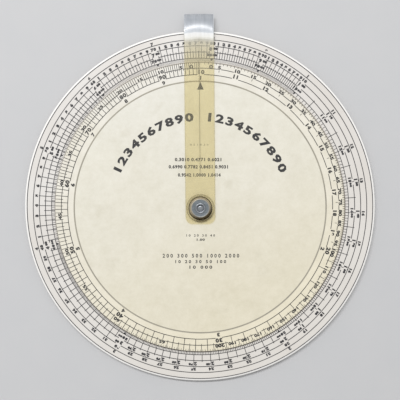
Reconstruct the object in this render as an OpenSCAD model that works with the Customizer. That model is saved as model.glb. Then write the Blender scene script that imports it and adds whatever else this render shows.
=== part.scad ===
// Circular slide rule: a base disc, a turning dial and a clear cursor on one riveted pivot.
// It lies flat with +Z up, the cursor half a degree from +Y and the pivot's axis on Z. All sizes are in
// millimetres.

/* [Discs] */
// Diameter of the turning dial
dial_d = 157; // [90:1:220]
// Thickness of the dial's board
dial_board_t = 0.5; // [0.3:0.1:2]
// Thickness of the dial's printed face sheet
dial_face_t = 0.3; // [0.2:0.05:1]
// Width of the fine bevel at the dial's edge
dial_bevel = 0.2; // [0.1:0.05:0.25]
// Thickness of the base's board
base_board_t = 1.3; // [0.8:0.1:4]
// Thickness of the base's printed face sheet
base_face_t = 0.4; // [0.35:0.05:1]
// Thickness of the plain sheet on the base's back
base_back_t = 0.3; // [0.2:0.05:1]
// Bare rim of the base outside its border line
rim_w = 1.15; // [0.7:0.05:6]
// Width left flat between the border line and the rim's bevel
rim_flat_w = 0.4; // [0.25:0.05:0.6]
// Depth of the rim's bevel
rim_bevel_h = 0.3; // [0.1:0.05:0.3]

/* [Scales] */
// Width of each of the four bands on the base
base_band_w = 3.3; // [2:0.1:6]
// Width of the finely divided band next to the dial
fine_band_w = 1.75; // [1:0.05:3]
// Gap between the dial's edge and the finely divided band
scale_gap = 0.4; // [0.2:0.05:1]
// Width of the percentage band at the dial's edge
dial_edge_band_w = 3.4; // [2:0.1:5]
// Width of each of the two inner bands on the dial
dial_band_w = 3.45; // [2:0.05:6]
// Width of the band lines and the longer divisions
line_w = 0.36; // [0.15:0.01:0.5]
// Width of the finest divisions
fine_line_w = 0.24; // [0.1:0.01:0.4]
// Thickness of the printing ink
ink_t = 0.03; // [0.02:0.01:0.1]
// Angle by which the base's 1 stands clockwise of the cursor
base_turn = 39.2; // [0:0.1:359]
// Height of the dial's index triangle
index_h = 4.1; // [2:0.1:8]
// Width of the dial's index triangle
index_w = 3.5; // [1.5:0.1:7]
// Bare gap between a band line's centre and the end of a division
line_gap = 0.28; // [0.26:0.01:0.6]
// Length of the fine divisions at the dial's edge
edge_tick_l = 1.2; // [0.6:0.1:1.5]

/* [Cursor] */
// Width of the film strip
cursor_w = 16; // [15.5:0.5:30]
// Thickness of the film
cursor_t = 0.5; // [0.3:0.05:1]
// Length of the tail behind the pivot
tail_l = 8.6; // [8:0.1:20]
// Radius of the tail's two corners
tail_r = 3.8; // [1:0.1:7]
// Length of the finger tab beyond the base's edge, seen from above
tab_l = 9.6; // [6:0.1:14]
// Distance from the base's edge back to the start of the bend
bend_inset = 3; // [1:0.5:8]
// Inner radius of the long, gentle bend
bend_r = 40; // [30:1:120]
// Straight length left at the tip of the tab, seen from above
tip_l = 2; // [1:0.5:4]
// Width of the hairline
hairline_w = 0.16; // [0.1:0.01:0.5]
// Depth of the hairline's groove
hairline_depth = 0.1; // [0.05:0.01:0.2]
// Distance from the pivot to the hairline's inner end
hairline_start = 19; // [9:0.5:60]
// Distance that the hairline stops short of the bend
hairline_stop = 0.5; // [0.5:0.5:10]
// Angle at which the cursor rests, anticlockwise from +Y seen from above
cursor_rest = 0.5; // [0:0.1:359]

/* [Pivot] */
// Diameter of the rivet's shank, on which the dial and cursor turn
shank_d = 4; // [2.5:0.1:6]
// Diameter of the rivet's reduced end inside the cap
tenon_d = 3.2; // [1.6:0.1:3.4]
// Diameter of the rivet's head
head_d = 11; // [8:0.5:20]
// Thickness of the rivet's head
head_t = 0.8; // [0.5:0.1:2]
// Rounding of the head's lower edge
head_edge = 0.25; // [0.1:0.05:0.4]
// Diameter of the spun ring at its crest
ring_d = 4.4; // [4:0.1:6]
// Height of the spun ring above the cap's face
ring_h = 0.55; // [0.3:0.05:0.8]
// Diameter of the small pip inside the spun ring
pip_d = 2.1; // [1:0.1:2.4]
// Height of the pip above the cap's face
pip_h = 0.4; // [0.2:0.05:0.6]
// Width that the back washer shows round the head
back_washer_margin = 1.5; // [0.5:0.1:5]
// Thickness of the back washer
back_washer_t = 0.4; // [0.3:0.1:1]
// Diameter of the fibre washer under the dial
dial_washer_d = 30; // [12:1:50]
// Width by which the fibre washer under the cursor stays inside the cap
cursor_washer_inset = 0.35; // [0:0.05:2]
// Thickness of both fibre washers
fibre_t = 0.2; // [0.1:0.05:0.5]
// Diameter of the pressed cap
cap_d = 12.7; // [11:0.1:13.6]
// Height of the pressed cap
cap_h = 1.3; // [1.1:0.1:2]
// Thickness of the cap's metal
cap_t = 0.35; // [0.25:0.05:0.5]
// Height of the cap's upright edge below its sloping side
cap_edge_h = 0.25; // [0.1:0.05:0.4]
// Width of the cap's sloping side
cap_slope_w = 0.8; // [0.5:0.05:1.2]
// Radius of the cap's rounded shoulder
cap_shoulder_r = 0.35; // [0.2:0.05:0.5]
// Depth of the cap's dished face below its shoulder
cap_dish = 0.12; // [0.05:0.01:0.2]
// Width that the clear collar shows outside the cap
collar_margin = 1.15; // [0.5:0.05:1.5]
// Thickness of the clear collar
collar_t = 0.3; // [0.2:0.05:0.6]

/* [Fits] */
// Radial clearance of the turning pieces on the shank
turn_clear = 0.05; // [0.02:0.01:0.1]
// Radial clearance of the fixed pieces on the rivet
fixed_clear = 0.02; // [0.01:0.01:0.05]
// Play above and below each turning piece
end_play = 0.05; // [0.03:0.01:0.2]

/* [Hidden] */
$fn = 96;

// Radii of the shank and of the bores on it
shank_r = shank_d / 2;
fixed_bore_r = shank_r + fixed_clear;
turning_bore_r = shank_r + turn_clear;

// Radii of the dial's band lines, from the edge inwards
dial_r = dial_d / 2;
dial_line_r = [dial_r - dial_edge_band_w, dial_r - dial_edge_band_w - dial_band_w,
               dial_r - dial_edge_band_w - 2 * dial_band_w];

// Radii of the base's band lines, from the dial outwards, and of its edge
fine_r = dial_r + scale_gap;
base_line_r = [for (i = [0 : 4]) fine_r + fine_band_w + i * base_band_w];
base_r = base_line_r[4] + rim_w;
rim_bevel_w = rim_w - rim_flat_w;

// Heights of the stack, from the head's underside at zero
back_washer_z = head_t;
base_back_z = back_washer_z + back_washer_t;
base_board_z = base_back_z + base_back_t;
base_face_z = base_board_z + base_board_t;
base_top_z = base_face_z + base_face_t;
dial_board_z = base_top_z + fibre_t + end_play;
dial_face_z = dial_board_z + dial_board_t;
dial_top_z = dial_face_z + dial_face_t;
cursor_washer_z = dial_top_z + end_play;
cursor_z = cursor_washer_z + fibre_t + end_play;
collar_z = cursor_z + cursor_t;
cap_z = collar_z + collar_t + end_play;
cap_face_z = cap_z + cap_h - cap_dish;
shoulder_z = cap_face_z - cap_t;

// Angle above the cap's face at which the spun ring ends in its pit
pit_a = 14;

// The cursor's bend, its finger tab and the hairline
bend_y = base_r - bend_inset;
bend_steps = 8;
tab_y = base_r + tab_l;
bend_a = asin((tab_y - tip_l - bend_y) / (bend_r + cursor_t));
hairline_l = bend_y - hairline_stop - hairline_start;

// Angle of a value on a scale that goes once round from 1 to 10
function turn_of(value) = 360 * log(value);

// Points of an arc in the plane of a profile, which may be flattened to a second radius
function arc(centre, r, from, to, steps, r_up = undef) =
    [for (i = [0 : steps])
        let (a = from + (to - from) * i / steps)
        centre + [r * cos(a), (is_undef(r_up) ? r : r_up) * sin(a)]];

// A flat disc with a round bore
module disc(r, t, bore_r) {
    difference() {
        cylinder(h = t, r = r);
        translate([0, 0, -1]) cylinder(h = t + 2, r = bore_r);
    }
}

// A disc whose upper edge has a bevel cut through part or all of its thickness
module bevelled_disc(r, t, bore_r, bevel_w, bevel_h) {
    rotate_extrude()
        polygon([[bore_r, 0], [r, 0], [r, t - bevel_h], [r - bevel_w, t], [bore_r, t]]);
}

// One printed ring line, centred on its radius
module ring_line(r) {
    linear_extrude(ink_t) difference() {
        circle(r = r + line_w / 2);
        circle(r = r - line_w / 2);
    }
}

// Printed divisions for a run of values, each a bar between two radii at its logarithmic angle
module divisions(from, to, step, r_in, r_out, w) {
    linear_extrude(ink_t)
        for (value = [from : step : to - step / 2])
            rotate(-turn_of(value)) translate([-w / 2, r_in]) square([w, r_out - r_in]);
}

module base_board() {
    color([0.86, 0.85, 0.82]) translate([0, 0, base_board_z])
        disc(base_r, base_board_t, fixed_bore_r);
}

module base_face_sheet() {
    color([0.89, 0.88, 0.85]) translate([0, 0, base_face_z])
        bevelled_disc(base_r, base_face_t, fixed_bore_r, rim_bevel_w, rim_bevel_h);
}

module base_back_sheet() {
    color([0.87, 0.86, 0.83]) translate([0, 0, base_back_z])
        disc(base_r, base_back_t, fixed_bore_r);
}

// The outer scale: five band lines, tenths across two bands and finer steps next to the dial
module base_scale_print() {
    color([0.2, 0.2, 0.21]) translate([0, 0, base_top_z]) {
        for (r = base_line_r) ring_line(r);
        rotate(-base_turn) {
            divisions(1, 10, 0.1, base_line_r[0] + line_gap, base_line_r[1] - line_gap, line_w);
            divisions(1, 10, 0.1, base_line_r[1] + line_gap, base_line_r[2] - line_gap, line_w);
            divisions(1, 2, 0.02, fine_r, base_line_r[0] - line_gap, fine_line_w);
            divisions(2, 5, 0.05, fine_r, base_line_r[0] - line_gap, fine_line_w);
            divisions(5, 10, 0.1, fine_r, base_line_r[0] - line_gap, fine_line_w);
        }
    }
}

// A solid rivet: a flat head, a shouldered shank and a front end spun over into a ring with a pip
module pivot_rivet() {
    head_r = head_d / 2;
    tenon_r = tenon_d / 2;
    ring_floor = ring_h * sin(pit_a);
    color([0.55, 0.56, 0.57]) rotate_extrude()
        polygon(concat(
            [[0, 0]],
            arc([head_r - head_edge, head_edge], head_edge, -90, 0, 4),
            [[head_r, head_t], [shank_r, head_t], [shank_r, shoulder_z], [tenon_r, shoulder_z],
             [tenon_r, cap_face_z]],
            arc([ring_d / 2, cap_face_z], ring_h, 0, 180 - pit_a, 10),
            arc([0, cap_face_z + ring_floor], pip_d / 2, 0, 90, 4, pip_h - ring_floor)
        ));
}

module back_washer() {
    color([0.62, 0.62, 0.62]) translate([0, 0, back_washer_z])
        disc(head_d / 2 + back_washer_margin, back_washer_t, fixed_bore_r);
}

module dial_washer() {
    color([0.45, 0.33, 0.24]) translate([0, 0, base_top_z])
        disc(dial_washer_d / 2, fibre_t, fixed_bore_r);
}

module cursor_washer() {
    color([0.45, 0.33, 0.24]) translate([0, 0, cursor_washer_z])
        disc(cap_d / 2 - cursor_washer_inset, fibre_t, fixed_bore_r);
}

// A pressed cap: an upright edge, a sloping side, a rounded shoulder and a face dished inside it
module front_cap() {
    cap_r = cap_d / 2;
    hole_r = tenon_d / 2 + fixed_clear;
    shoulder = [cap_r - cap_slope_w - cap_shoulder_r, cap_z + cap_h - cap_shoulder_r];
    dish_r = shoulder[0] - cap_shoulder_r;
    color([0.5, 0.51, 0.53]) rotate_extrude()
        polygon(concat(
            [[hole_r, shoulder_z], [dish_r, shoulder_z], [shoulder[0], cap_z + cap_h - cap_t],
             [cap_r - cap_t, cap_z + cap_edge_h], [cap_r - cap_t, cap_z],
             [cap_r, cap_z], [cap_r, cap_z + cap_edge_h]],
            arc(shoulder, cap_shoulder_r, 30, 110, 6),
            [[dish_r, cap_face_z], [hole_r, cap_face_z]]
        ));
}

module dial_board() {
    color([0.88, 0.85, 0.76]) translate([0, 0, dial_board_z])
        disc(dial_r, dial_board_t, turning_bore_r);
}

module dial_face_sheet() {
    color([0.91, 0.89, 0.82]) translate([0, 0, dial_face_z])
        bevelled_disc(dial_r, dial_face_t, turning_bore_r, dial_bevel, dial_bevel);
}

// The dial's scale: three band lines, tenths across two bands, finer steps at the edge and the index
module dial_scale_print() {
    edge_r = dial_r - dial_bevel;
    index_r = dial_line_r[2] - line_gap;
    color([0.2, 0.2, 0.21]) translate([0, 0, dial_top_z]) {
        for (r = dial_line_r) ring_line(r);
        divisions(1, 10, 0.1, dial_line_r[0] + line_gap, edge_r, line_w);
        divisions(1, 10, 0.1, dial_line_r[1] + line_gap, dial_line_r[0] - line_gap, line_w);
        divisions(1.02, 2, 0.02, edge_r - edge_tick_l, edge_r, fine_line_w);
        divisions(2.05, 10, 0.1, dial_line_r[0] + line_gap, edge_r, fine_line_w);
        linear_extrude(ink_t)
            polygon([[0, index_r], [index_w / 2, index_r - index_h], [-index_w / 2, index_r - index_h]]);
    }
}

// The strip's outline seen from above, with its tail's corners rounded
module strip_outline() {
    corner_x = cursor_w / 2 - tail_r;
    translate([-cursor_w / 2, tail_r - tail_l]) square([cursor_w, tab_y + tail_l - tail_r]);
    translate([-corner_x, -tail_l]) square([2 * corner_x, tail_r + 1]);
    for (x = [-corner_x, corner_x]) translate([x, tail_r - tail_l]) circle(r = tail_r);
}

// The strip's profile seen from the side: flat, then a long bend down and a short straight tip
module strip_profile() {
    bend_centre = [bend_y, -bend_r];
    tab_end = [tip_l, -tip_l * tan(bend_a)];
    under_arc = arc(bend_centre, bend_r, 90, 90 - bend_a, bend_steps);
    upper_arc = arc(bend_centre, bend_r + cursor_t, 90 - bend_a, 90, bend_steps);
    polygon(concat([[-tail_l, 0]], under_arc, [under_arc[bend_steps] + tab_end, upper_arc[0] + tab_end],
                   upper_arc, [[-tail_l, cursor_t]]));
}

module cursor_strip() {
    color([0.86, 0.82, 0.6], 0.5) rotate(cursor_rest) translate([0, 0, cursor_z])
        difference() {
            intersection() {
                rotate([90, 0, 90]) translate([0, 0, -cursor_w / 2]) linear_extrude(cursor_w) strip_profile();
                translate([0, 0, -cursor_z]) linear_extrude(cursor_z + 2 * cursor_t) strip_outline();
            }
            translate([0, 0, -1]) cylinder(h = cursor_t + 2, r = turning_bore_r);
            translate([-hairline_w / 2, hairline_start, -1]) cube([hairline_w, hairline_l, 1 + hairline_depth]);
        }
}

module cursor_hairline() {
    color([0.15, 0.15, 0.15]) rotate(cursor_rest) translate([-hairline_w / 2, hairline_start, cursor_z])
        cube([hairline_w, hairline_l, hairline_depth]);
}

module cursor_collar() {
    color([0.86, 0.82, 0.6], 0.5) translate([0, 0, collar_z])
        disc(cap_d / 2 + collar_margin, collar_t, turning_bore_r);
}

base_board();
base_face_sheet();
base_back_sheet();
base_scale_print();
pivot_rivet();
back_washer();
dial_washer();
cursor_washer();
front_cap();
dial_board();
dial_face_sheet();
dial_scale_print();
cursor_strip();
cursor_hairline();
cursor_collar();
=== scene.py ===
import math
import bmesh
import bpy
import numpy as np
from mathutils import Matrix, Vector


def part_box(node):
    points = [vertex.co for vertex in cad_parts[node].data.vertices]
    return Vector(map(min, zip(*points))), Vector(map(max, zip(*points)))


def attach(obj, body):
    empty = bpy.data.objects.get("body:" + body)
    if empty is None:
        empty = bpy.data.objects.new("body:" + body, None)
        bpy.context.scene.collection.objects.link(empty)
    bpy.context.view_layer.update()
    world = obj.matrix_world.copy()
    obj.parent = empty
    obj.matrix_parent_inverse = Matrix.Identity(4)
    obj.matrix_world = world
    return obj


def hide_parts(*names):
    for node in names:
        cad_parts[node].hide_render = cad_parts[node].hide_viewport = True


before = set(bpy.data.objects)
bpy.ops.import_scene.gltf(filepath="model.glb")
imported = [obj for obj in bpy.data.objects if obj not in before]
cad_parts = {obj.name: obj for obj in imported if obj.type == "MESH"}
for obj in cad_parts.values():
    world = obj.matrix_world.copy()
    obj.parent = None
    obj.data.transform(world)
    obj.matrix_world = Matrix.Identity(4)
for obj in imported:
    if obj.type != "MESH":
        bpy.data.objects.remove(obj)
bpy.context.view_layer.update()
MM = 0.001

# The camera looks almost straight down on the rule as it lies flat, from over a point a little nearer the
# tab than its middle. Its place and tilt bring the discs, the pivot and the tab to where they are seen.
camera_view = bpy.data.cameras.new("camera")
camera_view.sensor_width = 36
camera_view.lens = 50.49
camera = bpy.data.objects.new("camera", camera_view)
camera.location = (-2.5 * MM, 16.13 * MM, 307.46 * MM)
camera_tilt = Matrix.Rotation(math.radians(-2.221), 3, "X") @ Matrix.Rotation(math.radians(-0.433), 3, "Y")
camera.rotation_mode = "QUATERNION"
camera.rotation_quaternion = camera_tilt.to_quaternion()
bpy.context.scene.collection.objects.link(camera)
bpy.context.scene.camera = camera
bpy.context.scene.view_settings.view_transform = "Standard"


def tone(red, green, blue):
    """A colour as the eye reads it, 0 to 255 each, in the shader's linear numbers."""
    return tuple(((c / 255 + 0.055) / 1.055) ** 2.4 for c in (red, green, blue)) + (1.0,)


class Finish:
    """A material in the making: its node tree, its shader and the piece's own coordinates."""

    def __init__(self, name):
        self.material = bpy.data.materials.new(name)
        self.material.use_nodes = True
        self.tree = self.material.node_tree
        self.shader = self.tree.nodes["Principled BSDF"]
        self.place = self.node("TexCoord").outputs["Object"]

    def feed(self, socket, value):
        """Joins a socket to another one, or sets its plain value."""
        if isinstance(value, bpy.types.NodeSocket):
            self.tree.links.new(value, socket)
        else:
            socket.default_value = value

    def node(self, kind, inputs=None, **settings):
        """Adds a shader node, with its inputs by name or number and its settings by name."""
        made = self.tree.nodes.new("ShaderNode" + kind)
        for key, value in settings.items():
            setattr(made, key, value)
        for key, value in (inputs or {}).items():
            self.feed(made.inputs[key], value)
        return made

    def set(self, **inputs):
        """Sets the shader's own sockets, with _ for a blank in their names."""
        for key, value in inputs.items():
            self.feed(self.shader.inputs[key.replace("_", " ")], value)

    def stretched(self, scale, turn=0.0, move=(0, 0, 0)):
        """The piece's coordinates stretched, turned about the pivot and moved."""
        return self.node("Mapping", {"Vector": self.place, "Scale": scale, "Location": move,
                                     "Rotation": (0, 0, turn)}).outputs[0]

    def noise(self, scale, detail=3.0, rough=0.5, place=None):
        """Cloudy unevenness from 0 to 1."""
        return self.node("TexNoise", {"Vector": place or self.place, "Scale": scale, "Detail": detail,
                                      "Roughness": rough}).outputs["Fac"]

    def band(self, value, low, high, to_low=0.0, to_high=1.0):
        """Brings the part of a value between two levels to a share from 0 to 1."""
        return self.node("MapRange", {"Value": value, "From Min": low, "From Max": high, "To Min": to_low,
                                      "To Max": to_high}, clamp=True).outputs[0]

    def calc(self, kind, first, second=0.0):
        return self.node("Math", {0: first, 1: second}, operation=kind).outputs[0]

    def mix(self, share, first, second, blend="MIX"):
        made = self.node("Mix", data_type="RGBA", blend_type=blend)
        self.feed(made.inputs[0], share)
        self.feed(made.inputs[6], first)
        self.feed(made.inputs[7], second)
        return made.outputs[2]

    def bump(self, height, depth, strength=1.0):
        relief = self.node("Bump", {"Height": height, "Distance": depth, "Strength": strength})
        self.set(Normal=relief.outputs[0])

    def radius(self):
        """Distance from the pivot's axis."""
        flat = self.node("VectorMath", {0: self.place, 1: (1, 1, 0)}, operation="MULTIPLY").outputs[0]
        return self.node("VectorMath", {0: flat}, operation="LENGTH").outputs["Value"]

    def reach(self, move):
        """Distance from a point that is a little beside the pivot."""
        beside = self.node("VectorMath", {0: self.place, 1: move}, operation="ADD").outputs[0]
        return self.node("VectorMath", {0: beside}, operation="LENGTH").outputs["Value"]

    def toward(self, direction):
        """Distance from the pivot in one direction only, less than nothing on the far side."""
        along = self.node("VectorMath", {0: self.place, 1: direction}, operation="DOT_PRODUCT")
        return along.outputs["Value"]

    def over_clear(self, cover, clear_tone):
        """Lets what is behind show through, tinted, where the share of cover is low."""
        clear = self.node("BsdfTransparent", {"Color": clear_tone})
        mixed = self.node("MixShader", {0: cover, 1: clear.outputs[0], 2: self.shader.outputs[0]})
        self.tree.links.new(mixed.outputs[0], self.tree.nodes["Material Output"].inputs[0])


# The rule lies on a plain pale table top in soft studio light: one long lamp beyond the tab, a little to
# the left, which the film's curl mirrors, and an even pale room all round.
FLOOR_HALF_W, FLOOR_Z = 2.0, -0.02 * MM
floor_mesh = bpy.data.meshes.new("floor")
floor_corners = [(x * FLOOR_HALF_W, y * FLOOR_HALF_W, FLOOR_Z)
                 for x, y in ((-1, -1), (1, -1), (1, 1), (-1, 1))]
floor_mesh.from_pydata(floor_corners, [], [(0, 1, 2, 3)])
floor = bpy.data.objects.new("floor", floor_mesh)
bpy.context.scene.collection.objects.link(floor)
table_top = Finish("pale_table_top")
table_tone = table_top.mix(table_top.noise(60, 4), tone(205, 206, 208), tone(210, 210, 211))
table_top.set(Base_Color=table_tone, Roughness=0.8)
floor_mesh.materials.append(table_top.material)

LAMP_PLACE, LAMP_AIM = Vector((-0.44, 0.9, 1.4)), Vector((-0.44, 0.03, 0))
LAMP_W, LAMP_DEPTH, LAMP_WATTS = 1.5, 0.08, 19.2
lamp_light = bpy.data.lights.new("long_lamp", "AREA")
lamp_light.shape = "RECTANGLE"
lamp_light.size = LAMP_W
lamp_light.size_y = LAMP_DEPTH
lamp_light.energy = LAMP_WATTS
lamp = bpy.data.objects.new("long_lamp", lamp_light)
lamp.location = LAMP_PLACE
lamp.rotation_mode = "QUATERNION"
lamp.rotation_quaternion = (LAMP_AIM - LAMP_PLACE).to_track_quat("-Z", "Y")
bpy.context.scene.collection.objects.link(lamp)

# The room is paler to the camera, in mirrored light and through the film than it is as a source of light
world = bpy.data.worlds.new("pale_room")
world.use_nodes = True
room = world.node_tree
room_light = room.nodes["Background"]
room_light.inputs["Color"].default_value = (1, 1, 1, 1)
room_light.inputs["Strength"].default_value = 0.485
room_seen = room.nodes.new("ShaderNodeBackground")
room_seen.inputs["Color"].default_value = (0.93, 0.935, 0.94, 1)
room_seen.inputs["Strength"].default_value = 0.9
rays = room.nodes.new("ShaderNodeLightPath")
looking = rays.outputs["Is Camera Ray"]
for other_ray in ("Is Glossy Ray", "Is Transmission Ray"):
    either = room.nodes.new("ShaderNodeMath")
    either.operation = "MAXIMUM"
    room.links.new(looking, either.inputs[0])
    room.links.new(rays.outputs[other_ray], either.inputs[1])
    looking = either.outputs[0]
both = room.nodes.new("ShaderNodeMixShader")
room.links.new(looking, both.inputs[0])
room.links.new(room_light.outputs[0], both.inputs[1])
room.links.new(room_seen.outputs[0], both.inputs[2])
room.links.new(both.outputs[0], room.nodes["World Output"].inputs[0])
bpy.context.scene.world = world


# A dressed piece is a closed mesh in the CAD's frame, which rides on its body and stands for a CAD node.
# The radius and the heights at which it meets its neighbours are read from the frame where they can be.
def piece(name, vertices, faces, finish, body, slot, *nodes):
    """A closed mesh from its vertices and faces, in metres, dressed as one piece."""
    mesh = bpy.data.meshes.new(name)
    mesh.from_pydata([tuple(v) for v in vertices], [], [tuple(f) for f in faces])
    return dress(name, mesh, finish, body, slot, *nodes)


def dress(name, mesh, finish, body, slot, *nodes):
    """Joins a mesh's seams, gives it its finish and hands it to its body and its CAD nodes."""
    work = bmesh.new()
    work.from_mesh(mesh)
    bmesh.ops.remove_doubles(work, verts=work.verts, dist=1e-7)
    bmesh.ops.recalc_face_normals(work, faces=work.faces)
    work.to_mesh(mesh)
    work.free()
    mesh.name = name
    mesh.materials.clear()
    mesh.materials.append(finish.material)
    made = bpy.data.objects.new(name, mesh)
    bpy.context.scene.collection.objects.link(made)
    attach(made, body)
    if nodes:
        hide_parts(*nodes)
    return made


def turned(profile, steps=128):
    """Turns a closed profile of (radius, height) points in millimetres round the pivot."""
    on_axis = 1e-6
    vertices, faces = [], []
    for i in range(steps):
        a = 2 * math.pi * i / steps
        vertices += [(r * math.cos(a) * MM, r * math.sin(a) * MM, z * MM) for r, z in profile]
    n = len(profile)
    for i in range(steps):
        for j in range(n):
            k = (j + 1) % n
            if profile[j][0] < on_axis and profile[k][0] < on_axis:
                continue
            p, q = i * n, (i + 1) % steps * n
            corners = [p + j, q + j, q + k, p + k]
            if profile[j][0] < on_axis:
                corners = [p + j, q + k, p + k]
            elif profile[k][0] < on_axis:
                corners = [p + j, q + j, p + k]
            faces.append(corners)
    return vertices, faces


def arc(x, z, r, start, end, steps, r_up=None):
    """Points of an arc in a profile, in degrees from the outward direction."""
    turn = [math.radians(start + (end - start) * i / steps) for i in range(steps + 1)]
    return [(x + r * math.cos(a), z + (r_up or r) * math.sin(a)) for a in turn]


def smooth(made, degrees=35):
    """Shades a piece as one smooth surface, with edges over an angle left sharp."""
    made.data.shade_smooth()
    made.data.set_sharp_from_angle(angle=math.radians(degrees))


def radius_of(node):
    """Radius of a round CAD node, in millimetres."""
    return round(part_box(node)[1][0] / MM, 3)


def foot_of(node):
    """Height of a CAD node's lowest face, in millimetres."""
    return round(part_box(node)[0][2] / MM, 3)


def top_of(node):
    """Height of a CAD node's highest face, in millimetres."""
    return round(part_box(node)[1][2] / MM, 3)


# The pivot is a solid shouldered rivet of plated steel. Its flat head is at the back, and its front end
# is spun over on the cap into a smooth raised ring with a small pip left standing in the middle.
HEAD_R, HEAD_T, SHANK_R, TENON_R = radius_of("pivot_rivet"), foot_of("back_washer"), 2.0, 1.6
HEAD_LOWER_R, HEAD_UPPER_R = 0.25, 0.12
SHOULDER_Z, CAP_T = 6.23, 0.35
CAP_FACE_Z = SHOULDER_Z + CAP_T
RING_R, RING_HALF_W, RING_H = 2.35, 0.6, 0.54
PIP_FLAT_R, PIP_ROUND_R, PIP_TOP_Z = 0.72, 0.9, CAP_FACE_Z + 0.43
GROOVE_OUTER_R, GROOVE_INNER_R, GROOVE_Z = 1.5, 1.22, CAP_FACE_Z + 0.06
rivet_profile = (
    [(0, 0)] + arc(HEAD_R - HEAD_LOWER_R, HEAD_LOWER_R, HEAD_LOWER_R, -90, 0, 6)
    + arc(HEAD_R - HEAD_UPPER_R, HEAD_T - HEAD_UPPER_R, HEAD_UPPER_R, 0, 90, 4)
    + [(SHANK_R, HEAD_T), (SHANK_R, SHOULDER_Z), (TENON_R, SHOULDER_Z), (TENON_R, CAP_FACE_Z)]
    + arc(RING_R, CAP_FACE_Z, RING_HALF_W, 0, 162, 20, RING_H)
    + [(GROOVE_OUTER_R, GROOVE_Z), (GROOVE_INNER_R, GROOVE_Z)]
    + arc(PIP_FLAT_R, PIP_TOP_Z - PIP_ROUND_R, PIP_ROUND_R, 58, 90, 8) + [(0, PIP_TOP_Z)])
rivet_steel = Finish("spun_rivet_steel")
rivet_grain = rivet_steel.noise(900, 4, 0.6)
# Painted shade: the groove round the pip is painted dark, the more so towards the top and the bottom of the
# ring.
upright = rivet_steel.toward((-0.2, 0.98, 0))
in_groove = rivet_steel.calc("MULTIPLY", rivet_steel.band(rivet_steel.radius(), 1.25 * MM, 1.5 * MM),
                             rivet_steel.band(rivet_steel.radius(), 2.1 * MM, 1.8 * MM))
groove_shade = rivet_steel.band(rivet_steel.calc("ABSOLUTE", upright), 0.5 * MM, 1.5 * MM, 0.25, 0.9)
painted_groove_shade = rivet_steel.calc("MULTIPLY", in_groove, groove_shade)
rivet_shade = rivet_steel.band(rivet_grain, 0.35, 0.7)
rivet_colour = rivet_steel.mix(rivet_shade, tone(146, 150, 154), tone(118, 121, 125))
rivet_steel.set(Base_Color=rivet_steel.mix(painted_groove_shade, rivet_colour, tone(52, 56, 62)),
                Metallic=1.0, Roughness=rivet_steel.band(rivet_grain, 0.3, 0.7, 0.28, 0.4))
rivet_steel.bump(rivet_grain, 0.01 * MM, 0.5)
rivet = piece("pivot_rivet_spun", *turned(rivet_profile), rivet_steel, "base", "rivet_metal", "pivot_rivet")
smooth(rivet)


# A flat stamped washer of the same plated steel spreads the rivet's head on the back sheet.
def paint(node, finish):
    """Gives a CAD node its own finish."""
    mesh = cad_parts[node].data
    mesh.materials.clear()
    mesh.materials.append(finish.material)


washer_steel = Finish("stamped_washer_steel")
washer_grain = washer_steel.noise(500, 5, 0.6, washer_steel.stretched((1, 7, 1), 0.6))
washer_shade = washer_steel.band(washer_grain, 0.3, 0.7)
washer_steel.set(Base_Color=washer_steel.mix(washer_shade, tone(176, 176, 174), tone(148, 148, 147)),
                 Metallic=1.0, Roughness=washer_steel.band(washer_grain, 0.3, 0.7, 0.28, 0.42))
washer_steel.bump(washer_grain, 0.01 * MM, 0.4)
paint("back_washer", washer_steel)


# The base is a stiff white board between two white plastic sheets, cut out together. The front sheet
# has a bevelled rim. Handling has left soft grey smudges and a few specks, and the cut edge is darker.
def worn_sheet(name, clean, aged, cut, shade_scale=22.0, seed=(0, 0, 0), speck=tone(150, 140, 120)):
    """A printed plastic or board sheet: soft uneven ageing, fine fibres, specks and a darker cut edge."""
    made = Finish(name)
    shifted = made.stretched((1, 1, 1), 0, seed)
    broad = made.noise(shade_scale, 4, 0.55, shifted)
    fine = made.noise(420, 5, 0.65, shifted)
    colour = made.mix(made.band(broad, 0.36, 0.66), clean, aged)
    colour = made.mix(made.band(fine, 0.55, 0.8, 0, 0.35), colour, aged)
    cells = made.node("TexVoronoi", {"Vector": shifted, "Scale": 95.0}, feature="F1")
    chosen = made.band(made.node("SeparateColor", {"Color": cells.outputs["Color"]}).outputs[0], 0.8, 0.82)
    spot = made.calc("MULTIPLY", chosen, made.band(cells.outputs["Distance"], 0.05, 0.02))
    colour = made.mix(made.calc("MULTIPLY", spot, 0.4), colour, speck)
    upright = made.node("SeparateXYZ", {0: made.node("NewGeometry").outputs["Normal"]}).outputs[2]
    side = made.band(made.calc("ABSOLUTE", upright), 0.7, 0.3)
    made.face_colour = colour
    made.cut_share = side
    made.cut_colour = cut
    made.set(Base_Color=made.mix(side, colour, cut), Roughness=made.band(fine, 0.3, 0.7, 0.42, 0.56))
    made.bump(fine, 0.02 * MM, 0.35)
    return made


paint("base_board", worn_sheet("white_core_board", tone(214, 210, 203), tone(203, 198, 189),
                               tone(196, 188, 174)))
paint("base_back_sheet", worn_sheet("white_back_sheet", tone(226, 223, 218), tone(217, 213, 206),
                                    tone(212, 206, 196), shade_scale=18.0, seed=(0.3, 0.1, 0)))
front_sheet = worn_sheet("white_printed_sheet", tone(234, 231, 227), tone(227, 222, 216), tone(230, 226, 220),
                         shade_scale=30.0, seed=(0.12, 0.4, 0))
yellowing = front_sheet.band(front_sheet.toward((0.3, -0.95, 0)), -60 * MM, 110 * MM, 0, 0.6)
front_colour = front_sheet.mix(yellowing, front_sheet.face_colour, tone(232, 227, 219))
front_colour = front_sheet.mix(front_sheet.cut_share, front_colour, front_sheet.cut_colour)
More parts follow.
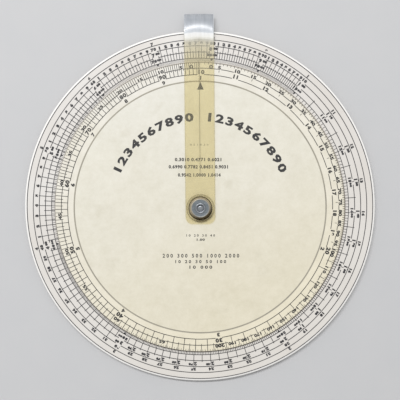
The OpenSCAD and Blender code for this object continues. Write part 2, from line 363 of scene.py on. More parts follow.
# Painted shadow and dirt: a dark ring on the base just outside the dial's edge, measured from a point a
# little below the pivot so that it shows most below the dial.
from_dial = front_sheet.reach((0, 0.4 * MM, 0))
shadow_and_dirt_round_dial = front_sheet.calc("MULTIPLY", front_sheet.band(from_dial, 78.05 * MM, 78.3 * MM),
                               front_sheet.band(from_dial, 79.2 * MM, 78.8 * MM, 0, 0.92))
front_colour = front_sheet.mix(shadow_and_dirt_round_dial, front_colour, tone(92, 84, 76))
# Painted highlight: the bevelled rim is painted whiter than the face.
rim_highlight = front_sheet.band(front_sheet.radius(), 94.0 * MM, 94.2 * MM)
front_sheet.set(Base_Color=front_sheet.mix(rim_highlight, front_colour, tone(255, 253, 250)))
paint("base_face_sheet", front_sheet)


# Both scales are printed the same way. Their divisions are grown by geometry nodes, each at the logarithm
# of its value, and their figures are set in the stock font. All of a scale is one thin layer of ink.
def divisions_tree():
    """Geometry nodes: thin bars between two radii, turned to the logarithm of each value in a run."""
    tree = bpy.data.node_groups.new("logarithmic_divisions", "GeometryNodeTree")
    tree.interface.new_socket("Geometry", in_out="OUTPUT", socket_type="NodeSocketGeometry")
    for name, kind in (("First value", "Float"), ("Step", "Float"), ("Count", "Int"),
                       ("Inner radius", "Float"), ("Outer radius", "Float"), ("Width", "Float"),
                       ("Thickness", "Float"), ("Height", "Float"), ("Turn", "Float"), ("Ink", "Material")):
        tree.interface.new_socket(name, in_out="INPUT", socket_type="NodeSocket" + kind)
    given = tree.nodes.new("NodeGroupInput").outputs
    result = tree.nodes.new("NodeGroupOutput").inputs

    def calc(kind, first, second=0.0):
        made = tree.nodes.new("ShaderNodeMath")
        made.operation = kind
        for socket, value in zip(made.inputs, (first, second)):
            if isinstance(value, bpy.types.NodeSocket):
                tree.links.new(value, socket)
            else:
                socket.default_value = value
        return made.outputs[0]

    def node(kind, **links):
        made = tree.nodes.new(kind)
        for key, source in links.items():
            tree.links.new(source, made.inputs[key.replace("_", " ")])
        return made

    def xyz(x=None, y=None, z=None):
        made = tree.nodes.new("ShaderNodeCombineXYZ")
        for socket, source in zip(made.inputs, (x, y, z)):
            if source is not None:
                tree.links.new(source, socket)
        return made.outputs[0]

    index = tree.nodes.new("GeometryNodeInputIndex").outputs[0]
    value = calc("ADD", given["First value"], calc("MULTIPLY", index, given["Step"]))
    angle = calc("SUBTRACT", calc("MULTIPLY", calc("LOGARITHM", value, 10.0), -2 * math.pi), given["Turn"])
    length = calc("SUBTRACT", given["Outer radius"], given["Inner radius"])
    bar = node("GeometryNodeMeshCube", Size=xyz(given["Width"], length, given["Thickness"])).outputs["Mesh"]
    middle = calc("ADD", given["Inner radius"], calc("MULTIPLY", length, 0.5))
    lifted = calc("ADD", given["Height"], calc("MULTIPLY", given["Thickness"], 0.5))
    placed = node("GeometryNodeTransform", Geometry=bar, Translation=xyz(None, middle, lifted)).outputs[0]
    points = node("GeometryNodePoints", Count=given["Count"]).outputs[0]
    spin = node("FunctionNodeEulerToRotation", Euler=xyz(None, None, angle)).outputs[0]
    bars = node("GeometryNodeInstanceOnPoints", Points=points, Instance=placed, Rotation=spin).outputs[0]
    real = node("GeometryNodeRealizeInstances", Geometry=bars).outputs[0]
    inked = node("GeometryNodeSetMaterial", Geometry=real, Material=given["Ink"]).outputs[0]
    tree.links.new(inked, result[0])
    return tree


def printing_ink(name, deep, faded):
    """Near-black ink with a soft unevenness, thinner where it has been rubbed."""
    made = Finish(name)
    patch = made.noise(160, 4, 0.6)
    grain = made.noise(1600, 2, 0.6)
    colour = made.mix(made.band(patch, 0.4, 0.7), deep, faded)
    made.ink_colour = made.mix(made.band(grain, 0.5, 0.8, 0, 0.5), colour, faded)
    made.set(Base_Color=made.ink_colour, Roughness=made.band(grain, 0.3, 0.7, 0.45, 0.6))
    return made


class Print:
    """One printed scale, gathered as thin closed shapes of ink on the face of its sheet."""

    ink_thickness = 0.03
    division_thickness = 0.9 * ink_thickness
    figure_half_thickness = 0.475 * ink_thickness
    capital_share = 0.686
    ring_step = 1.5
    tree = divisions_tree()
    figures = {}

    def __init__(self, name, height, ink, turn=0.0):
        self.name, self.height, self.ink, self.turn = name, height, ink, turn
        self.vertices, self.faces, self.count = [], [], 0

    def add(self, vertices, faces):
        """Gathers a closed shape, in millimetres."""
        self.vertices.append(np.asarray(vertices, float))
        self.faces += [[i + self.count for i in face] for face in faces]
        self.count += len(vertices)

    def angle(self, value):
        """Clockwise angle of a value, in degrees."""
        return self.turn + 360 * math.log10(value)

    def ring(self, radius, width, gaps=()):
        """A ring line, left open for (angle, half width in millimetres) of each figure on it."""
        inner, outer = radius - width / 2, radius + width / 2
        opened = sorted(((a - math.degrees(w / radius)) % 360, 2 * math.degrees(w / radius)) for a, w in gaps)
        runs = [(0.0, 360.0)]
        if opened:
            runs = []
            for k, (start, span) in enumerate(opened):
                after = opened[(k + 1) % len(opened)][0] + (360 if k + 1 == len(opened) else 0)
                if after > start + span + 0.2:
                    runs.append((start + span, after))
        low, high = self.height, self.height + self.ink_thickness
        for start, end in runs:
            steps = max(1, round((end - start) / self.ring_step))
            closed = end - start > 359.9
            vertices, faces = [], []
            for i in range(steps if closed else steps + 1):
                a = math.radians(start + (end - start) * i / steps)
                s, c = math.sin(a), math.cos(a)
                vertices += [(inner * s, inner * c, low), (outer * s, outer * c, low),
                             (outer * s, outer * c, high), (inner * s, inner * c, high)]
            for i in range(steps):
                p, q = 4 * i, 4 * ((i + 1) % len(vertices[::4]))
                faces += [(p + j, p + (j + 1) % 4, q + (j + 1) % 4, q + j) for j in range(4)]
            if not closed:
                faces += [(0, 1, 2, 3), (4 * steps + 3, 4 * steps + 2, 4 * steps + 1, 4 * steps)]
            self.add(vertices, faces)

    def divisions(self, first, last, step, inner, outer, width, skip=()):
        """Division lines at each value of a run that isn't skipped."""
        values = np.round(np.arange(first, last + step / 2, step), 4)
        kept = [v for v in values if not any(abs(v - s) < 1e-4 for s in skip)]
        start = 0
        while start < len(kept):
            end = start
            while end + 1 < len(kept) and abs(kept[end + 1] - kept[end] - step) < 1e-4:
                end += 1
            self.run(kept[start], step, end - start + 1, inner, outer, width)
            start = end + 1

    def run(self, first, step, count, inner, outer, width):
        """An unbroken run of division lines, grown by the geometry nodes and made a plain mesh."""
        carrier = bpy.data.objects.new("divisions", bpy.data.meshes.new("divisions"))
        bpy.context.scene.collection.objects.link(carrier)
        growth = carrier.modifiers.new("divisions", "NODES")
        growth.node_group = self.tree
        settings = {"First value": float(first), "Step": float(step), "Count": int(count),
                    "Inner radius": inner * MM, "Outer radius": outer * MM, "Width": width * MM,
                    "Thickness": self.division_thickness * MM, "Height": self.height * MM,
                    "Turn": math.radians(self.turn), "Ink": self.ink.material}
        for item in self.tree.interface.items_tree:
            if item.in_out == "INPUT":
                growth[item.identifier] = settings[item.name]
        grown = carrier.evaluated_get(bpy.context.evaluated_depsgraph_get())
        bars = bpy.data.meshes.new_from_object(grown)
        carrier.modifiers.clear()
        self.add([v.co / MM for v in bars.vertices], [tuple(f.vertices) for f in bars.polygons])
        bpy.data.objects.remove(carrier)
        bpy.data.meshes.remove(bars)

    def shape_of(self, text, cap, weight, spread, wide):
        """A figure as a thin closed mesh, its capital height as given and its middle at zero."""
        key = (text, cap, weight, spread, wide)
        if key not in self.figures:
            letters = bpy.data.curves.new("figure", "FONT")
            letters.body = text
            letters.size = cap / self.capital_share
            letters.align_x = "CENTER"
            letters.space_character = spread
            letters.offset = weight
            letters.resolution_u = 2
            letters.extrude = self.figure_half_thickness
            carrier = bpy.data.objects.new("figure", letters)
            bpy.context.scene.collection.objects.link(carrier)
            drawn = carrier.evaluated_get(bpy.context.evaluated_depsgraph_get())
            flat = bpy.data.meshes.new_from_object(drawn)
            points = np.array([v.co for v in flat.vertices])
            points[:, 0] *= wide
            points[:, 1] -= cap / 2
            points[:, 2] += self.figure_half_thickness
            self.figures[key] = (points, [tuple(f.vertices) for f in flat.polygons])
            bpy.data.objects.remove(carrier)
            bpy.data.curves.remove(letters)
            bpy.data.meshes.remove(flat)
        return self.figures[key]

    def figure(self, text, angle, radius, cap, weight=0.0, aside=0.0, spread=1.0, wide=1.0):
        """Sets a figure upright on the ring at a clockwise angle, its middle at a radius."""
        points, faces = self.shape_of(text, cap, weight, spread, wide)
        a = -math.radians(angle)
        x, y = points[:, 0] + aside, points[:, 1] + radius
        placed = np.column_stack((x * math.cos(a) - y * math.sin(a), x * math.sin(a) + y * math.cos(a),
                                  points[:, 2] + self.height))
        self.add(placed, faces)

    def wedge(self, angle, tip, base, width):
        """A small solid triangle that points along a radius."""
        a = -math.radians(angle)
        corners = [(x * math.cos(a) - y * math.sin(a), x * math.sin(a) + y * math.cos(a))
                   for x, y in ((0, tip), (width / 2, base), (-width / 2, base))]
        low, high = self.height, self.height + self.ink_thickness
        self.add([(x, y, low) for x, y in corners] + [(x, y, high) for x, y in corners],
                 [(0, 1, 2), (3, 5, 4), (0, 3, 4, 1), (1, 4, 5, 2), (2, 5, 3, 0)])

    def finish(self, body, *nodes):
        """Makes one piece of all that has been printed."""
        vertices = np.concatenate(self.vertices) * MM
        return piece(self.name, vertices, self.faces, self.ink, body, "black_ink", *nodes)


# The outer scale is printed in near-black ink: five band lines, tenths and half tenths, a finely divided
# ring next to the dial, and four rows of figures. Its 1 stands 39.2 degrees clockwise of straight up.
BASE_FACE_Z, BASE_TURN = top_of("base_face_sheet"), 39.2
BASE_LINES = (93.85, 90.55, 87.25, 83.95, 80.65)
BORDER_W, BAND_LINE_W, INNER_LINE_W, DIVISION_W, THIN_DIVISION_W = 0.42, 0.4, 0.36, 0.34, 0.32
FINE_INNER_R, FINE_OUTER_R = 78.9, BASE_LINES[4] + 0.1
TENTHS_END_R, HALVES_END_R = BASE_LINES[2] + 0.45, 84.65
ONES_ROW_R, TENS_ROW_R, HUNDREDS_ROW_R, THOUSANDS_ROW_R = 91.65, 88.7, 85.7, 82.5
outer_ink = printing_ink("outer_scale_ink", tone(34, 34, 38), tone(66, 65, 68))
outer = Print("base_scale_printed", BASE_FACE_Z, outer_ink, BASE_TURN)
tenths = [round(1 + i / 10, 1) for i in range(90)]
whole_values = list(range(1, 11))
outer.ring(BASE_LINES[0], BORDER_W)
outer.ring(BASE_LINES[1], BAND_LINE_W)
outer.ring(BASE_LINES[2], BAND_LINE_W, [(outer.angle(v), 1.5) for v in whole_values[:9]])
outer.ring(BASE_LINES[3], BAND_LINE_W, [(outer.angle(v), 1.6) for v in tenths if v <= 2 or v == round(v)])
outer.ring(BASE_LINES[4], INNER_LINE_W)

# A whole value is numbered in all four rows, and the tenths between them in as many as have room
for value in tenths:
    whole = value == round(value)
    text = str(round(value * 10))
    at = outer.angle(value)
    if whole:
        outer.figure(text[0], at, ONES_ROW_R, 1.4, 0.16, wide=1.25)
        outer.wedge(at, FINE_INNER_R + 0.15, BASE_LINES[4], 1.5)
        outer.figure(text, at, TENS_ROW_R + 0.05, 1.38, 0.18, spread=1.25, wide=1.2)
    elif value > 4:
        outer.figure(text[1], at, TENS_ROW_R, 1.32, 0.22, spread=1.2, wide=1.25)
    else:
        outer.figure(text, at, TENS_ROW_R, 1.32, 0.18, spread=1.2, wide=1.25)
    if whole or value <= 3:
        small_figures = "00" if whole else text[1] + "0"
        outer.figure(text[0], at, HUNDREDS_ROW_R, 1.66, 0.2, aside=-0.95, wide=1.15)
        outer.figure(small_figures, at, HUNDREDS_ROW_R + 0.3, 1.07, 0.17, aside=1.55, spread=1.13, wide=1.3)
    if whole or value <= 2:
        outer.figure(text, at, THOUSANDS_ROW_R, 1.25, 0.2, aside=-1.4, spread=1.4, wide=1.25)
        outer.figure("00", at, THOUSANDS_ROW_R + 0.1, 0.9, 0.16, aside=1.5, spread=1.25, wide=1.5)

# Each run of divisions has its first and last value, step, two ends, width and the values left out
outer.divisions(3.1, 5.9, 0.1, FINE_INNER_R, TENTHS_END_R, DIVISION_W, whole_values)
outer.divisions(6.1, 9.9, 0.1, BASE_LINES[4], TENTHS_END_R, THIN_DIVISION_W, whole_values)
outer.divisions(2.1, 2.9, 0.1, FINE_INNER_R, BASE_LINES[3] + 0.5, DIVISION_W)
outer.divisions(2.1, 2.9, 0.1, BASE_LINES[3] + 0.5, BASE_LINES[2] + 0.4, 0.2)
for inner_end, outer_end in ((FINE_INNER_R, 81.4), (83.3, 84.8), (86.8, 87.6)):
    outer.divisions(1.1, 1.9, 0.1, inner_end, outer_end, DIVISION_W)
outer.divisions(1.05, 5.95, 0.1, FINE_INNER_R, HALVES_END_R, DIVISION_W)
outer.divisions(6.05, 9.95, 0.1, BASE_LINES[4], HALVES_END_R, THIN_DIVISION_W)
for first, last, step, width in ((1.01, 2.2, 0.01, 0.27), (2.21, 3.99, 0.01, 0.23), (4.02, 5.98, 0.02, 0.2),
                                 (6.02, 7.98, 0.02, 0.17), (8.02, 9.98, 0.02, 0.14)):
    outer.divisions(first, last, step, FINE_INNER_R, FINE_OUTER_R, width, whole_values)
outer.finish("base", "base_scale_print")


# A thin washer of brown vulcanised fibre keeps the dial just clear of the base's printed face, and a
# smaller one keeps the cursor clear of the dial. Both are punched from sheet.
fibre = Finish("brown_vulcanised_fibre")
fibre_grain = fibre.noise(380, 5, 0.65, fibre.stretched((1, 5, 1), 0.3))
fibre.set(Base_Color=fibre.mix(fibre.band(fibre_grain, 0.3, 0.7), tone(122, 92, 66), tone(94, 68, 47)),
          Roughness=fibre.band(fibre_grain, 0.3, 0.7, 0.6, 0.75))
fibre.bump(fibre_grain, 0.02 * MM, 0.4)
paint("dial_washer", fibre)
paint("cursor_washer", fibre)


# The dial is a thin cream board under a cream plastic sheet, which has yellowed most at the lower right
# and inside its inner ring line, with soft blotches and a few dark specks.
paint("dial_board", worn_sheet("cream_core_board", tone(226, 218, 200), tone(212, 203, 182),
                               tone(206, 196, 172)))
dial_sheet = worn_sheet("cream_printed_sheet", tone(245, 242, 235), tone(242, 238, 228), tone(228, 220, 202),
                        shade_scale=26.0, seed=(0.7, 0.2, 0))
wander = dial_sheet.band(dial_sheet.noise(14, 3, 0.5), 0.2, 0.8, -20 * MM, 20 * MM)
drift = dial_sheet.calc("ADD", dial_sheet.toward((0.34, -0.94, 0)), wander)
warm = dial_sheet.mix(dial_sheet.band(drift, -70 * MM, 85 * MM), dial_sheet.face_colour, tone(247, 239, 215))
inner_age = dial_sheet.band(drift, -80 * MM, 70 * MM)
inner_colour = dial_sheet.mix(inner_age, tone(241, 239, 230), tone(239, 232, 210))
clouds = dial_sheet.noise(75, 3, 0.5, dial_sheet.stretched((1, 1, 1), 0, (0.2, 0.9, 0)))
inner_colour = dial_sheet.mix(dial_sheet.band(clouds, 0.62, 0.74, 0, 0.3), inner_colour, tone(214, 208, 188))
inside = dial_sheet.band(dial_sheet.radius(), 69.0 * MM, 68.4 * MM)
whole_face = dial_sheet.mix(inside, warm, inner_colour)
mottled = dial_sheet.band(dial_sheet.noise(120, 6, 0.78), 0.3, 0.7)
whole_face = dial_sheet.mix(mottled, whole_face, tone(241, 240, 236), "MULTIPLY")
whole_face = dial_sheet.mix(dial_sheet.cut_share, whole_face, dial_sheet.cut_colour)
# Painted shade and dirt: the dial's outer edge is darkened in a narrow band, set a little off centre.
dial_edge_shade_and_dirt = dial_sheet.band(dial_sheet.reach((0.2 * MM, 0.3 * MM, 0)), 78.2 * MM, 78.4 * MM, 0, 0.75)
dial_sheet.set(Base_Color=dial_sheet.mix(dial_edge_shade_and_dirt, whole_face, tone(112, 102, 88)))
paint("dial_face_sheet", dial_sheet)


# The dial carries a percentage scale at its edge, gains to the right and losses to the left, and inside
# it the same logarithmic scale in tens and in units. A broad line in thin grey ink closes them, and a
# solid index triangle stands under it.
DIAL_FACE_Z, DIAL_EDGE_R, DIAL_TURN = top_of("dial_face_sheet"), radius_of("dial_scale_print"), 0.12
DIAL_LINES = (75.1, 71.7, 68.15)
PERCENTS_R, PERCENTS_FOOT_R, DIAL_TENS_R, DIAL_ONES_R = 75.95, 76.2, 73.05, 69.95
SHORT_W, LONG_W = 0.28, 0.32
INDEX_TIP_R, INDEX_FOOT_R, INDEX_W = 67.8, 63.7, 3.5
dial_ink = printing_ink("dial_scale_ink", tone(34, 34, 36), tone(66, 64, 60))
thin_ring = dial_ink.calc("MULTIPLY", dial_ink.band(dial_ink.radius(), 67.74 * MM, 67.76 * MM),
                          dial_ink.band(dial_ink.radius(), 68.70 * MM, 68.66 * MM))
thin_patches = dial_ink.band(dial_ink.noise(90, 4, 0.6), 0.3, 0.7)
thin_colour = dial_ink.mix(thin_patches, tone(154, 149, 136), tone(174, 168, 153))
dial_ink.set(Base_Color=dial_ink.mix(thin_ring, dial_ink.ink_colour, thin_colour))
dial = Print("dial_scale_printed", DIAL_FACE_Z, dial_ink, DIAL_TURN)
numbered = [round(1 + i / 10, 1) for i in range(11)] + list(range(3, 10))
gains = list(range(5, 100, 5)) + list(range(100, 201, 10))
losses = list(range(5, 66, 5))

# A gain or loss stands at the value that it leads to, and a zero on each side of the top opens its row
percents = [(str(p), dial.angle(1 + p / 100)) for p in gains]
percents += [(str(p), dial.angle(1 - p / 100)) for p in losses]
zeros = [("0", 4.3), ("0", -3.7)]


def half_width(text):
    """About half the width of a figure at the dial's edge, in millimetres."""
    return 0.68 * len(text)


dial.ring(DIAL_LINES[0], 0.36, [(at, 0.25 + half_width(text)) for text, at in percents])
dial.ring(DIAL_LINES[1], 0.37, [(dial.angle(v), 1.75) for v in numbered])
dial.ring(DIAL_LINES[2], 0.72)
for value in numbered:
    at = dial.angle(value)
    bold = 0.04 if 1 < value < 7 else 0
    if value == round(value):
        dial.figure(f"{round(value)}0", at, DIAL_TENS_R, 2.05, 0.14 + bold, aside=0.1, spread=1.1, wide=1.2)
        dial.figure(str(round(value)), at, DIAL_ONES_R, 1.8, 0.12 + bold, wide=1.25)
    else:
        dial.figure(str(round(value * 10)), at, DIAL_TENS_R - 0.1, 1.82, 0.14 + bold, spread=1.14, wide=1.2)
for text, at in percents:
    if text in ("100", "200"):
        dial.figure(text, at, PERCENTS_R, 1.85, 0.17, wide=1.25)
    else:
        dial.figure(text, at, PERCENTS_R, 1.65, 0.13, wide=1.42 if len(text) < 3 else 1.26)
for text, at in zeros:
    dial.figure(text, at, PERCENTS_R + 0.1, 1.96, 0.13, wide=1.42)
dial.wedge(0, INDEX_TIP_R, INDEX_FOOT_R, INDEX_W)


def hidden_by_percents(first, last, step):
    """Values of a run that fall under a figure at the edge, where a long division would cross it."""
    under = []
    for value in np.round(np.arange(first, last + step / 2, step), 4):
        for text, at in percents + zeros:
            turn = abs((dial.angle(value) - at + 180) % 360 - 180)
            if math.radians(turn) * PERCENTS_FOOT_R < 0.35 + half_width(text):
                under.append(float(value))
                break
    return under


dial.divisions(1.01, 1.99, 0.01, 77.15, DIAL_EDGE_R, 0.26)
dial.divisions(1.05, 1.95, 0.1, 73.4, 74.6, 0.26)
dial.divisions(2.05, 2.95, 0.1, 74.4, DIAL_EDGE_R, SHORT_W, hidden_by_percents(2.05, 2.95, 0.1))
dial.divisions(2.1, 2.9, 0.1, DIAL_LINES[1], 75.0, 0.3)
dial.divisions(2.02, 2.98, 0.02, 77.3, DIAL_EDGE_R, 0.22)
crossed = hidden_by_percents(3.1, 9.9, 0.1)
crossed_halves = hidden_by_percents(3.05, 9.95, 0.1)
dial.divisions(3.1, 9.9, 0.1, DIAL_LINES[1], DIAL_EDGE_R, LONG_W, whole_values + crossed)
for value in crossed:
    if value != round(value):
        dial.divisions(value, value, 0.1, DIAL_LINES[1], 74.9, LONG_W)
for value in crossed + crossed_halves:
    dial.divisions(value, value, 0.1, 77.35, DIAL_EDGE_R, 0.24)
dial.divisions(3.05, 9.95, 0.1, 74.3, DIAL_EDGE_R, SHORT_W, crossed_halves)
dial.divisions(3.02, 3.98, 0.02, 77.4, DIAL_EDGE_R, 0.2, whole_values)

# An arc of large digits stands over the pivot, and rows of small numbers above and below it. Each row
# is spread to its own length: text, length, middle from the axis, height, capital height, weight, spread.
ARC_R, ARC_STEP, ARC_TURN = 49.2, 6.44, -0.6
ARC_DIGITS = "1234567890 1234567890"
for place, digit in enumerate(ARC_DIGITS):
    if digit != " ":
        dial.figure(digit, ARC_STEP * (place - len(ARC_DIGITS) // 2) + ARC_TURN, ARC_R, 4.1, 0.26, wide=1.5)
small_rows = (
    ("0.5 1.0 2.0", 9.7, -0.6, 34.2, 0.9, 0.0, 1.4),
    ("0.3010 0.4771 0.6021", 25.1, -1.0, 26.2, 1.65, 0.1, 1.1),
    ("0.6990 0.7782 0.8451 0.9031", 32.0, -0.9, 22.3, 1.65, 0.1, 1.1),
    ("0.9542 1.0000 1.0414", 23.1, -0.6, 17.9, 1.65, 0.1, 1.1),
    ("10 20 30 40", 15.5, 0.0, -14.85, 1.2, 0.03, 1.6),
    ("1.00", 4.4, 0.0, -17.15, 1.1, 0.06, 1.1),
    ("200 300 500 1000 2000", 41.6, 0.3, -25.9, 1.95, 0.07, 1.6),
    ("10 20 30 50 100", 27.6, 0.0, -29.1, 1.6, 0.06, 1.6),
    ("10 000", 12.4, 0.0, -32.15, 1.6, 0.07, 1.5))
for text, length, aside, height, cap, weight, spread in small_rows:
    natural = np.ptp(dial.shape_of(text, cap, weight, spread, 1.0)[0][:, 0])
    dial.figure(text, 0, height, cap, weight, aside, spread, length / natural)
dial.finish("dial", "dial_scale_print")


# The cursor is a strip of celluloid film, once clear and now yellow, with a round hole, rounded tail
# corners and a free end that has taken a long downward curl. The tab is scuffed by fingers, and its grey is
# partly painted reflection and shade.
FILM_Z, FILM_TOP_Z, FILM_HALF_W = foot_of("cursor_hairline"), foot_of("cursor_collar"), 8.0
FILM_T = FILM_TOP_Z - FILM_Z
HOLE_R, TAIL_Y, TAIL_R, STRAIGHT_Y = 2.05, -8.6, 3.8, 8.0
BEND_Y, BEND_R, TIP_Y, TIP_L, EDGE_LEAD = 92.0, 40.0, 104.2, 2.0, 1.9
BEND_A = math.asin((TIP_Y - TIP_L - BEND_Y) / (BEND_R + FILM_T))
FILM_EDGE_BEVEL, TIP_TRIM = 0.07, 0.06
REST_DEGREES = 0.5
REST_TURN = Matrix.Rotation(math.radians(REST_DEGREES), 3, "Z")


def curled(x, y, z):
    """Carries a point of the flat film to its place on the curl, which starts sooner at both edges."""
    start = BEND_Y - EDGE_LEAD * (x / FILM_HALF_W) ** 2
    run = y - start
    if run <= 0:
        return x, y, FILM_Z + z
    middle = BEND_R + FILM_T / 2
    turn = min(run / middle, BEND_A)
    rest = run - turn * middle
    up, along = (BEND_R + z) * math.cos(turn) - BEND_R, (BEND_R + z) * math.sin(turn)
    return x, start + along + rest * math.cos(turn), FILM_Z + up - rest * math.sin(turn)


# The sheet is laid out flat first: rings of faces from the hole to its outline, then rows to its end
columns = np.linspace(-FILM_HALF_W, FILM_HALF_W, 17)
top_row = [(x, STRAIGHT_Y) for x in columns]
tail = [(FILM_HALF_W, y) for y in (6, 4, 2, 0, -2, -3.6)]
tail += arc(FILM_HALF_W - TAIL_R, TAIL_Y + TAIL_R, TAIL_R, 0, -90, 9)
tail += [(x, TAIL_Y) for x in (3, 2, 1, 0)]
outline = top_row + tail + [(-x, y) for x, y in reversed(tail[:-1])]
around = len(outline)
flat_points, film_faces = [], []
rings_round_hole = 4
for ring in range(rings_round_hole + 1):
    share = ring / rings_round_hole
    for x, y in outline:
        near = HOLE_R / math.hypot(x, y)
        flat_points.append((x * (near + (1 - near) * share), y * (near + (1 - near) * share)))
for ring in range(rings_round_hole):
    for i in range(around):
        p, q = ring * around + i, ring * around + (i + 1) % around
        film_faces.append((p, q, q + around, p + around))
film_end = BEND_Y + BEND_A * (BEND_R + FILM_T / 2) + TIP_L / math.cos(BEND_A) - TIP_TRIM
fine_from = BEND_Y - 3
rows = list(np.linspace(STRAIGHT_Y, fine_from, 22)[1:]) + list(np.linspace(fine_from, film_end, 40)[1:])
last_row = [rings_round_hole * around + i for i in range(len(columns))]
for y in rows:
    start = len(flat_points)
    flat_points += [(x, y) for x in columns]
    next_row = list(range(start, start + len(columns)))
    for i in range(len(columns) - 1):
        film_faces.append((last_row[i], next_row[i], next_row[i + 1], last_row[i + 1]))
    last_row = next_row
film_mesh = bpy.data.meshes.new("film")
film_mesh.from_pydata([(x, y, 0) for x, y in flat_points], [], film_faces)


def on_rim(edge):
    """True for an edge that runs level between a face of the sheet and its cut side."""
    if len(edge.link_faces) != 2 or abs(edge.verts[0].co.z - edge.verts[1].co.z) >= 0.1:
        return False
    return abs(edge.link_faces[0].normal.dot(edge.link_faces[1].normal)) < 0.5


# It is then given its thickness and bevelled rims, curled, and turned to the cursor's resting place
work = bmesh.new()
work.from_mesh(film_mesh)
bmesh.ops.recalc_face_normals(work, faces=work.faces)
grown = bmesh.ops.extrude_face_region(work, geom=work.faces[:])
for vertex in [g for g in grown["geom"] if isinstance(g, bmesh.types.BMVert)]:
    vertex.co.z = FILM_T
work.normal_update()
bmesh.ops.bevel(work, geom=[e for e in work.edges if on_rim(e)], offset=FILM_EDGE_BEVEL, segments=2,
                affect="EDGES", profile=0.6)
for vertex in work.verts:
    vertex.co = REST_TURN @ Vector([c * MM for c in curled(*vertex.co)])
bmesh.ops.recalc_face_normals(work, faces=work.faces)
work.to_mesh(film_mesh)
work.free()

# How much the film hides, and the colour of its painted sheen, by the distance from the pivot in millimetres.
# The sheen stands for reflected light: faint over the discs, a white painted highlight band near the
# base's rim, a greyer painted shadow and darker painted reflections beyond it on the tab.
COVER_STOPS = ((70, 0.09), (79, 0.13), (84.5, 0.17), (88.9, 0.27), (89.9, 0.4), (90.8, 0.68), (91.8, 0.88),
               (93.6, 0.87), (94.2, 0.76), (104, 0.66))
PAINTED_SHEEN_STOPS = ((70, tone(226, 220, 200)), (82, tone(232, 228, 212)), (88.0, tone(246, 242, 226)),
              (90.8, tone(255, 254, 247)), (93.6, tone(255, 255, 255)), (94.2, tone(222, 228, 235)),
              (95.6, tone(198, 204, 213)), (99.0, tone(182, 188, 197)), (104, tone(162, 167, 175)))


def by_distance(made, place, stops, blend):
    """A colour that changes with the place along the film, through (millimetres, colour) stops."""
    first, last = stops[0][0], stops[-1][0]
    ramp = made.node("ValToRGB", {0: made.band(place, first * MM, last * MM)})
    ramp.color_ramp.interpolation = blend
    points = ramp.color_ramp.elements
    points[0].color, points[1].color = stops[0][1], stops[-1][1]
    for at, colour in stops[1:-1]:
        points.new((at - first) / (last - first)).color = colour
    return ramp.outputs[0]


def celluloid(name):
    """Yellowed clear film: it tints what is behind it and hazes it with painted sheen and highlight; the tab
    is scuffed and darkened by painted reflection and shade, and its cut edges carry painted shade and
    highlight.
    """
    made = Finish(name)
    upright_place = made.node("VectorRotate", {"Vector": made.place, "Angle": math.radians(-REST_DEGREES)},
                              rotation_type="Z_AXIS").outputs[0]
    across, along, _ = made.node("SeparateXYZ", {0: upright_place}).outputs
    streaks = made.noise(1.0, 4, 0.6, made.stretched((700, 60, 1)))
    smears = made.noise(150, 4, 0.6)
    from_midline = made.calc("POWER", made.calc("DIVIDE", across, FILM_HALF_W * MM), 2.0)
    arch = made.calc("ADD", along, made.calc("MULTIPLY", from_midline, 0.6 * MM))
    ragged = made.calc("ADD", arch, made.band(smears, 0.2, 0.8, -0.5 * MM, 0.5 * MM))
    haze = by_distance(made, ragged, [(at, (level, level, level, 1)) for at, level in COVER_STOPS], "EASE")
    cover = made.calc("MULTIPLY", haze, made.band(streaks, 0.3, 0.75, 0.9, 1.08))
    at_tab = made.band(along, 90 * MM, 100 * MM)
    # The scuffed tab's blue-grey is partly painted reflection, and the cut edges carry painted shade over the
    # discs and a painted highlight at the tab.
    scuffs_and_sheen = made.calc("MULTIPLY", at_tab, made.band(streaks, 0.35, 0.7, 0, 0.45))
    painted_sheen = made.mix(scuffs_and_sheen, by_distance(made, ragged, PAINTED_SHEEN_STOPS, "LINEAR"), tone(212, 216, 222))
    edge = made.band(made.calc("ABSOLUTE", across), 7.68 * MM, 7.9 * MM)
    edge_cover = made.calc("MULTIPLY", edge, made.band(along, 88 * MM, 95.5 * MM, 0.3, 0.7))
    cover = made.calc("MAXIMUM", cover, edge_cover)
    edge_shade_and_highlight = made.mix(made.band(along, 88 * MM, 95.5 * MM), tone(178, 168, 128), tone(226, 230, 234))
    painted_sheen = made.mix(edge, painted_sheen, edge_shade_and_highlight)
    made.set(Base_Color=painted_sheen, Roughness=made.band(smears, 0.3, 0.7, 0.17, 0.24), IOR=1.5)
    clear_share = made.band(along, 80 * MM, 100 * MM)
    made.over_clear(cover, made.mix(clear_share, (0.978, 0.957, 0.866, 1), (0.96, 0.955, 0.94, 1)))
    return made


film = dress("cursor_strip_film", film_mesh, celluloid("yellowed_celluloid"), "cursor", "clear_film",
             "cursor_strip")
smooth(film, 30)


# The hairline is a fine groove under the strip filled with dark paint, and a clear ring of the same
# film is cemented round the hole to stiffen it under the cap.
paint("cursor_hairline", printing_ink("hairline_paint", tone(112, 106, 86), tone(134, 127, 102)))
COLLAR_R, COLLAR_TOP_Z = radius_of("cursor_collar"), top_of("cursor_collar")
COLLAR_EDGE_R, COLLAR_EDGE_RISE = 0.1, 0.02
collar_profile = (
    [(HOLE_R, FILM_TOP_Z), (COLLAR_R, FILM_TOP_Z)]
    + arc(COLLAR_R - COLLAR_EDGE_R, COLLAR_TOP_Z + COLLAR_EDGE_RISE - COLLAR_EDGE_R, COLLAR_EDGE_R, 0, 90, 4)
    + [(HOLE_R, COLLAR_TOP_Z)])
collar_film = Finish("collar_celluloid")
collar_edge = collar_film.band(collar_film.radius(), 7.24 * MM, 7.34 * MM)
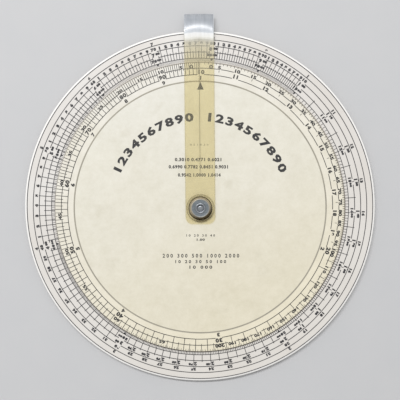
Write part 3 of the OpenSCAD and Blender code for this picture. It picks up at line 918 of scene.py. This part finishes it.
# Painted shadow: the collar is darkened on its lower side, where the cap's shadow falls.
below = collar_film.toward((0.3, -0.95, 0))
cap_shadow_cover = collar_film.band(below, 3.0 * MM, 6.8 * MM, 0, 0.5)
collar_haze = collar_film.band(collar_film.noise(300, 3), 0.3, 0.7, 0.08, 0.14)
collar_cover = collar_film.calc("ADD", collar_film.calc("MULTIPLY", collar_edge, 0.75), collar_haze)
collar_cover = collar_film.calc("MAXIMUM", collar_cover, cap_shadow_cover)
collar_tone = collar_film.mix(collar_edge, tone(240, 228, 194), tone(122, 110, 68))
cap_shadow_share = collar_film.band(below, 3.0 * MM, 6.0 * MM, 0, 0.9)
collar_tone = collar_film.mix(cap_shadow_share, collar_tone, tone(96, 82, 50))
collar_film.set(Base_Color=collar_tone, Roughness=0.25)
collar_film.over_clear(collar_cover, (0.995, 0.985, 0.94, 1))
collar = piece("cursor_collar_ring", *turned(collar_profile), collar_film, "cursor", "clear_film",
               "cursor_collar")
smooth(collar)


# The cap is pressed from thin plated sheet: an upright edge, a sloping side, a rounded shoulder and a
# face dished inside it. The rivet's spun end holds it down, and it stands just clear of the collar.
CAP_R, CAP_Z, CAP_H, CAP_HOLE_R = radius_of("front_cap"), foot_of("front_cap"), 1.3, 1.62
CAP_TOP_Z, CAP_INNER_R = CAP_Z + CAP_H, CAP_R - CAP_T
SHOULDER_R, SHOULDER_ROUND_R, DISH_R = 4.86, 0.45, 4.38
CAP_LOWER_R, CAP_UPPER_R = 0.06, 0.12
cap_profile = (
    [(CAP_HOLE_R, SHOULDER_Z), (DISH_R - 0.1, SHOULDER_Z), (SHOULDER_R, CAP_TOP_Z - CAP_T),
     (CAP_INNER_R, CAP_Z + 0.25), (CAP_INNER_R, CAP_Z + 0.04), (CAP_INNER_R + 0.05, CAP_Z)]
    + arc(CAP_R - CAP_LOWER_R, CAP_Z + CAP_LOWER_R, CAP_LOWER_R, -90, 0, 3)
    + arc(CAP_R - CAP_UPPER_R, CAP_Z + 0.2, CAP_UPPER_R, 0, 30, 3)
    + arc(SHOULDER_R, CAP_TOP_Z - SHOULDER_ROUND_R, SHOULDER_ROUND_R, 24, 112, 16)
    + [(DISH_R + 0.1, CAP_FACE_Z + 0.03), (DISH_R - 0.05, CAP_FACE_Z + 0.005), (DISH_R - 0.3, CAP_FACE_Z),
       (CAP_HOLE_R, CAP_FACE_Z)])
cap_plate = Finish("pressed_cap_plate")
cap_streak = cap_plate.noise(260, 5, 0.65, cap_plate.stretched((1, 9, 1), 1.1))
cap_grain = cap_plate.noise(1500, 3, 0.6)
cap_colour = cap_plate.mix(cap_plate.band(cap_streak, 0.35, 0.68), tone(108, 115, 118), tone(134, 140, 145))
# Painted light and shade: the face keeps the plate's streaked grey, the shoulder ring is lighter as a painted
# highlight, the slope brownish as a painted reflection of the film, and the side near black as painted shade;
# all three darken towards the lower right as painted shadow.
shaded_lower_side = cap_plate.band(cap_plate.toward((0.36, -0.93, 0)), 0.0, 4.6 * MM)
shoulder = cap_plate.band(cap_plate.radius(), 4.4 * MM, 4.6 * MM)
shoulder_highlight = cap_plate.mix(cap_plate.band(cap_grain, 0.3, 0.7), tone(160, 157, 148), tone(144, 141, 134))
cap_colour = cap_plate.mix(shoulder, cap_colour, cap_plate.mix(shaded_lower_side, shoulder_highlight, tone(116, 113, 105)))
slope_reflection_and_shade = cap_plate.mix(shaded_lower_side, tone(178, 167, 144), tone(84, 74, 54))
cap_colour = cap_plate.mix(cap_plate.band(cap_plate.radius(), 4.9 * MM, 5.2 * MM), cap_colour, slope_reflection_and_shade)
side_shade = cap_plate.mix(shaded_lower_side, tone(54, 47, 29), tone(24, 20, 10))
cap_colour = cap_plate.mix(cap_plate.band(cap_plate.radius(), 5.9 * MM, 6.1 * MM), cap_colour, side_shade)
cap_roughness = cap_plate.calc("ADD", cap_plate.band(cap_grain, 0.3, 0.7, 0.32, 0.44),
                               cap_plate.calc("MULTIPLY", shoulder, 0.14))
cap_plate.set(Base_Color=cap_colour, Metallic=1.0, Roughness=cap_roughness)
cap_plate.bump(cap_grain, 0.01 * MM, 0.4)
cap = piece("front_cap_pressed", *turned(cap_profile), cap_plate, "base", "cap_metal", "front_cap")
smooth(cap)
